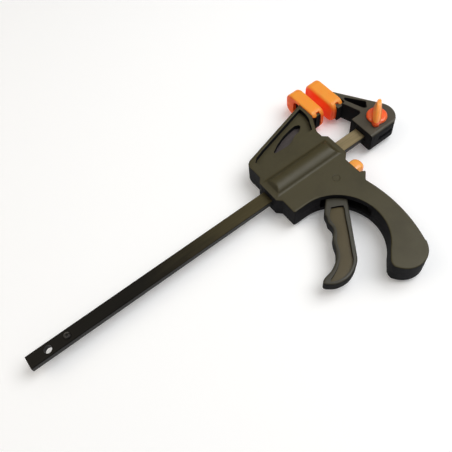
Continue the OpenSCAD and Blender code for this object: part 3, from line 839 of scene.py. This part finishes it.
# The disc is a circle turned about the axis. The fin's section at each height is a
# superellipse |x/a|^p + |y/b|^p = 1, where a follows half an ellipse in the fin's height
# and b falls evenly from root to tip. In the disc each point takes, softly blended, whichever
# of circle and fin lies further out, and above it the points draw in to the fin along a round
# fillet.
def knobRings(box):
    s = knobShape
    z0, z1 = box[0][2] / mm, box[1][2] / mm
    centre = np.array([(box[0][0] + box[1][0]) / 2, (box[0][1] + box[1][1]) / 2]) / mm
    turnAt = np.linspace(0, 2 * np.pi, s["around"], endpoint=False)
    c, q = np.cos(turnAt), np.sin(turnAt)

    def fin(z):
        t = np.clip((z - z0 - s["finFoot"]) / (z1 - z0 - s["finFoot"]), 0, 1)
        a = s["finHalf"] * np.sqrt(np.maximum(1 - t * t, 0.0))
        b = s["root"] + (s["tip"] - s["root"]) * t
        b = np.minimum(b, a)
        return np.stack([a * np.sign(c) * np.abs(c) ** (2 / s["power"]),
                         b * np.sign(q) * np.abs(q) ** (2 / s["power"])], axis=-1)

    def discAt(z, inset):
        f = fin(z)
        far = np.linalg.norm(f, axis=-1, keepdims=True)
        radius = s["discRadius"] - inset
        soft = 0.5 * (far + radius + np.sqrt((far - radius) ** 2 + s["blend"]))
        return f / far * soft

    top = z0 + s["discHeight"]
    rings = [(discAt(z0 + rise, inset), z0 + rise) for rise, inset in s["foot"]]
    rings.append((discAt(top - s["edge"], 0), top - s["edge"]))
    for a in np.linspace(1 / s["edgeRings"], 1, s["edgeRings"]) * np.pi / 2:
        z = top - s["edge"] * (1 - math.sin(a))
        rings.append((discAt(z, s["edge"] * (1 - math.cos(a))), z))
    for k in np.linspace(s["filletFrom"], 1, s["filletRings"]):
        z = top + s["fillet"] * (1 - math.sqrt(max(1 - k ** s["filletPower"], 0)))
        inner = fin(z) * (1 + s["filletSpread"] * (1 - k))
        rings.append((discAt(top, s["edge"]) * (1 - k) + inner * k, z))
    start = top + s["fillet"]
    rise = np.sin(np.linspace(s["finFrom"], 1, s["finRings"]) * np.pi / 2)
    for z in (start + (z1 - start) * rise)[:-1]:
        rings.append((fin(z), z))
    sectionAt, scale, below = s["crown"]
    rings.append((fin(z1 - sectionAt) * scale, z1 - below))
    a = math.radians(s["turn"])
    rot = np.array([[math.cos(a), -math.sin(a)], [math.sin(a), math.cos(a)]])
    return np.stack([np.c_[p @ rot.T + centre, np.full(len(p), z)] for p, z in rings])


dress(ringSurface("wingKnob", knobRings(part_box("lock_knob"))), "lock_knob")
print("knob made")


# neck is how far the two rings behind the dome stand from its foot; the last ring stops at
# domeTo of the quarter turn, and the end's middle point closes the tip
buttonShape = {"power": 3.0, "domeLength": 5.6, "domePower": 2.2, "domeTo": 0.97,
               "neck": (4.0, 1.5), "rings": 14, "around": 64}


# Along X the section is a superellipse; its size holds to the dome and then falls as
# sqrt(1 - t^p), with t from 0 at the dome's foot to 1 at the tip.
def buttonRings(box):
    s = buttonShape
    low, high = np.array(box[0]) / mm, np.array(box[1]) / mm
    half = (high - low) / 2
    mid = (high + low) / 2
    foot = high[0] - s["domeLength"]
    turnAt = np.linspace(0, s["domeTo"], s["rings"]) * np.pi / 2
    dome = high[0] - s["domeLength"] * (1 - np.sin(turnAt))
    x = np.concatenate([[low[0]], foot - np.array(s["neck"]), dome])
    t = np.clip((x - foot) / s["domeLength"], 0, 1)
    size = np.sqrt(1 - t ** s["domePower"])
    around = np.linspace(0, 2 * np.pi, s["around"], endpoint=False)
    c, q = np.cos(around), np.sin(around)
    y = np.sign(c) * np.abs(c) ** (2 / s["power"]) * half[1]
    z = np.sign(q) * np.abs(q) ** (2 / s["power"]) * half[2]
    return np.stack([np.broadcast_to(x[:, None], (len(x), s["around"])),
                     mid[1] + size[:, None] * y[None], mid[2] + size[:, None] * z[None]], axis=-1)


dress(ringSurface("releaseCap", buttonRings(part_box("release_button"))), "release_button")
print("release button made")


springShape = {"wire": 1.0, "around": 12, "perTurn": 28}


# A round wire along a helix about X: x grows with the turn's angle a, y = R cos a and
# z = R sin a, and the section is a circle in the plane of X and the radius.
def springRings(box, turns):
    s = springShape
    low, high = np.array(box[0]) / mm, np.array(box[1]) / mm
    mid = (low + high) / 2
    wire = s["wire"] / 2
    big = min(high[1] - low[1], high[2] - low[2]) / 2 - wire
    a = np.linspace(0, 2 * np.pi * turns, turns * s["perTurn"] + 1)[:, None]
    b = np.linspace(0, 2 * np.pi, s["around"], endpoint=False)[None]
    x = low[0] + wire + (high[0] - low[0] - 2 * wire) * a / a.max() + wire * np.sin(b)
    r = big + wire * np.cos(b)
    return np.stack([x, mid[1] + r * np.cos(a), mid[2] + r * np.sin(a)], axis=-1)


# each coil's turns, its joint and how far in mm that joint presses it to its fixed end
coils = {"drive_spring": (7, "drive_slide", 3.9), "brake_spring": (3, "release_pivot", 1.2)}
for node, (turns, joint, travel) in coils.items():
    low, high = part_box(node)
    coil = ringSurface(node.replace("_s", "S") + "Coil", springRings((low, high), turns))
    dress(coil, node)
    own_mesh(coil)
print("springs made")


# places and sizes in m, lamp power in W; the floor's own white takes over from the lamps'
# light between the two distances of glowTurns
studio = {
    "floor": (0.95, 0.95, 0.95), "floorHalf": 3, "floorRough": 0.9, "floorSpecular": 0.1,
    "glow": 0.13, "farGlow": 1.0, "glowTurns": (0.4, 2.2),
    "keyPlace": (0.5, -0.2, 0.95), "keySize": 0.8, "keyPower": 7.8, "keyTint": (0.98, 0.99, 1.0),
    "fillPlace": (-0.6, 0.35, 0.8), "fillSize": 0.7, "fillPower": 1.9, "fillTint": (1.0, 0.88, 0.70),
    "horizon": 0.05, "overhead": 0.50, "skyTurns": (0.15, 0.95),
}


def makeFloor():
    r = studio["floorHalf"]
    mesh = bpy.data.meshes.new("benchTop")
    mesh.from_pydata([(-r, -r, 0), (r, -r, 0), (r, r, 0), (-r, r, 0)], [], [(0, 1, 2, 3)])
    floor = bpy.data.objects.new("benchTop", mesh)
    scene.collection.objects.link(floor)
    m, tree, shader = startMaterial("paleFloor", Roughness=studio["floorRough"],
                                    Specular_IOR_Level=studio["floorSpecular"],
                                    Base_Color=(*studio["floor"], 1), Emission_Color=(1, 1, 1, 1))
    path = tree.nodes.new("ShaderNodeLightPath").outputs
    seen = mathNode(tree, "ADD", path["Is Camera Ray"], path["Is Glossy Ray"], clamp=True)
    away = tree.nodes.new("ShaderNodeVectorMath")
    away.operation = "LENGTH"
    tree.links.new(objectCoords(tree), away.inputs[0])
    far = smoothStep(tree, away.outputs["Value"], *studio["glowTurns"])
    glow = mixValue(tree, far, studio["glow"], studio["farGlow"])
    tree.links.new(mathNode(tree, "MULTIPLY", seen, glow), shader["Emission Strength"])
    mesh.materials.append(m)


def addLamp(name, place, size, power, tint):
    data = bpy.data.lights.new(name, "AREA")
    data.energy = power
    data.size = size
    data.color = tint
    lamp = bpy.data.objects.new(name, data)
    lamp.location = place
    lamp.rotation_euler = Vector(place).to_track_quat("Z", "Y").to_euler()
    scene.collection.objects.link(lamp)


# the room is brightest overhead and dim near the horizon; the camera sees plain white
def makeWorld():
    world = bpy.data.worlds.new("studio")
    scene.world = world
    world.use_nodes = True
    tree = world.node_tree
    back = tree.nodes["Background"].inputs
    back["Color"].default_value = (1, 1, 1, 1)
    direction = tree.nodes.new("ShaderNodeTexCoord").outputs["Generated"]
    sky = smoothStep(tree, splitAxes(tree, direction)["Z"], *studio["skyTurns"],
                     studio["horizon"], studio["overhead"])
    path = tree.nodes.new("ShaderNodeLightPath").outputs
    tree.links.new(mixValue(tree, path["Is Camera Ray"], sky, 1.0), back["Strength"])


makeFloor()
makeWorld()
for side in ("key", "fill"):
    addLamp(side + "Lamp", *(studio[side + part] for part in ("Place", "Size", "Power", "Tint")))
scene.view_settings.view_transform = "Standard"
print("studio set")
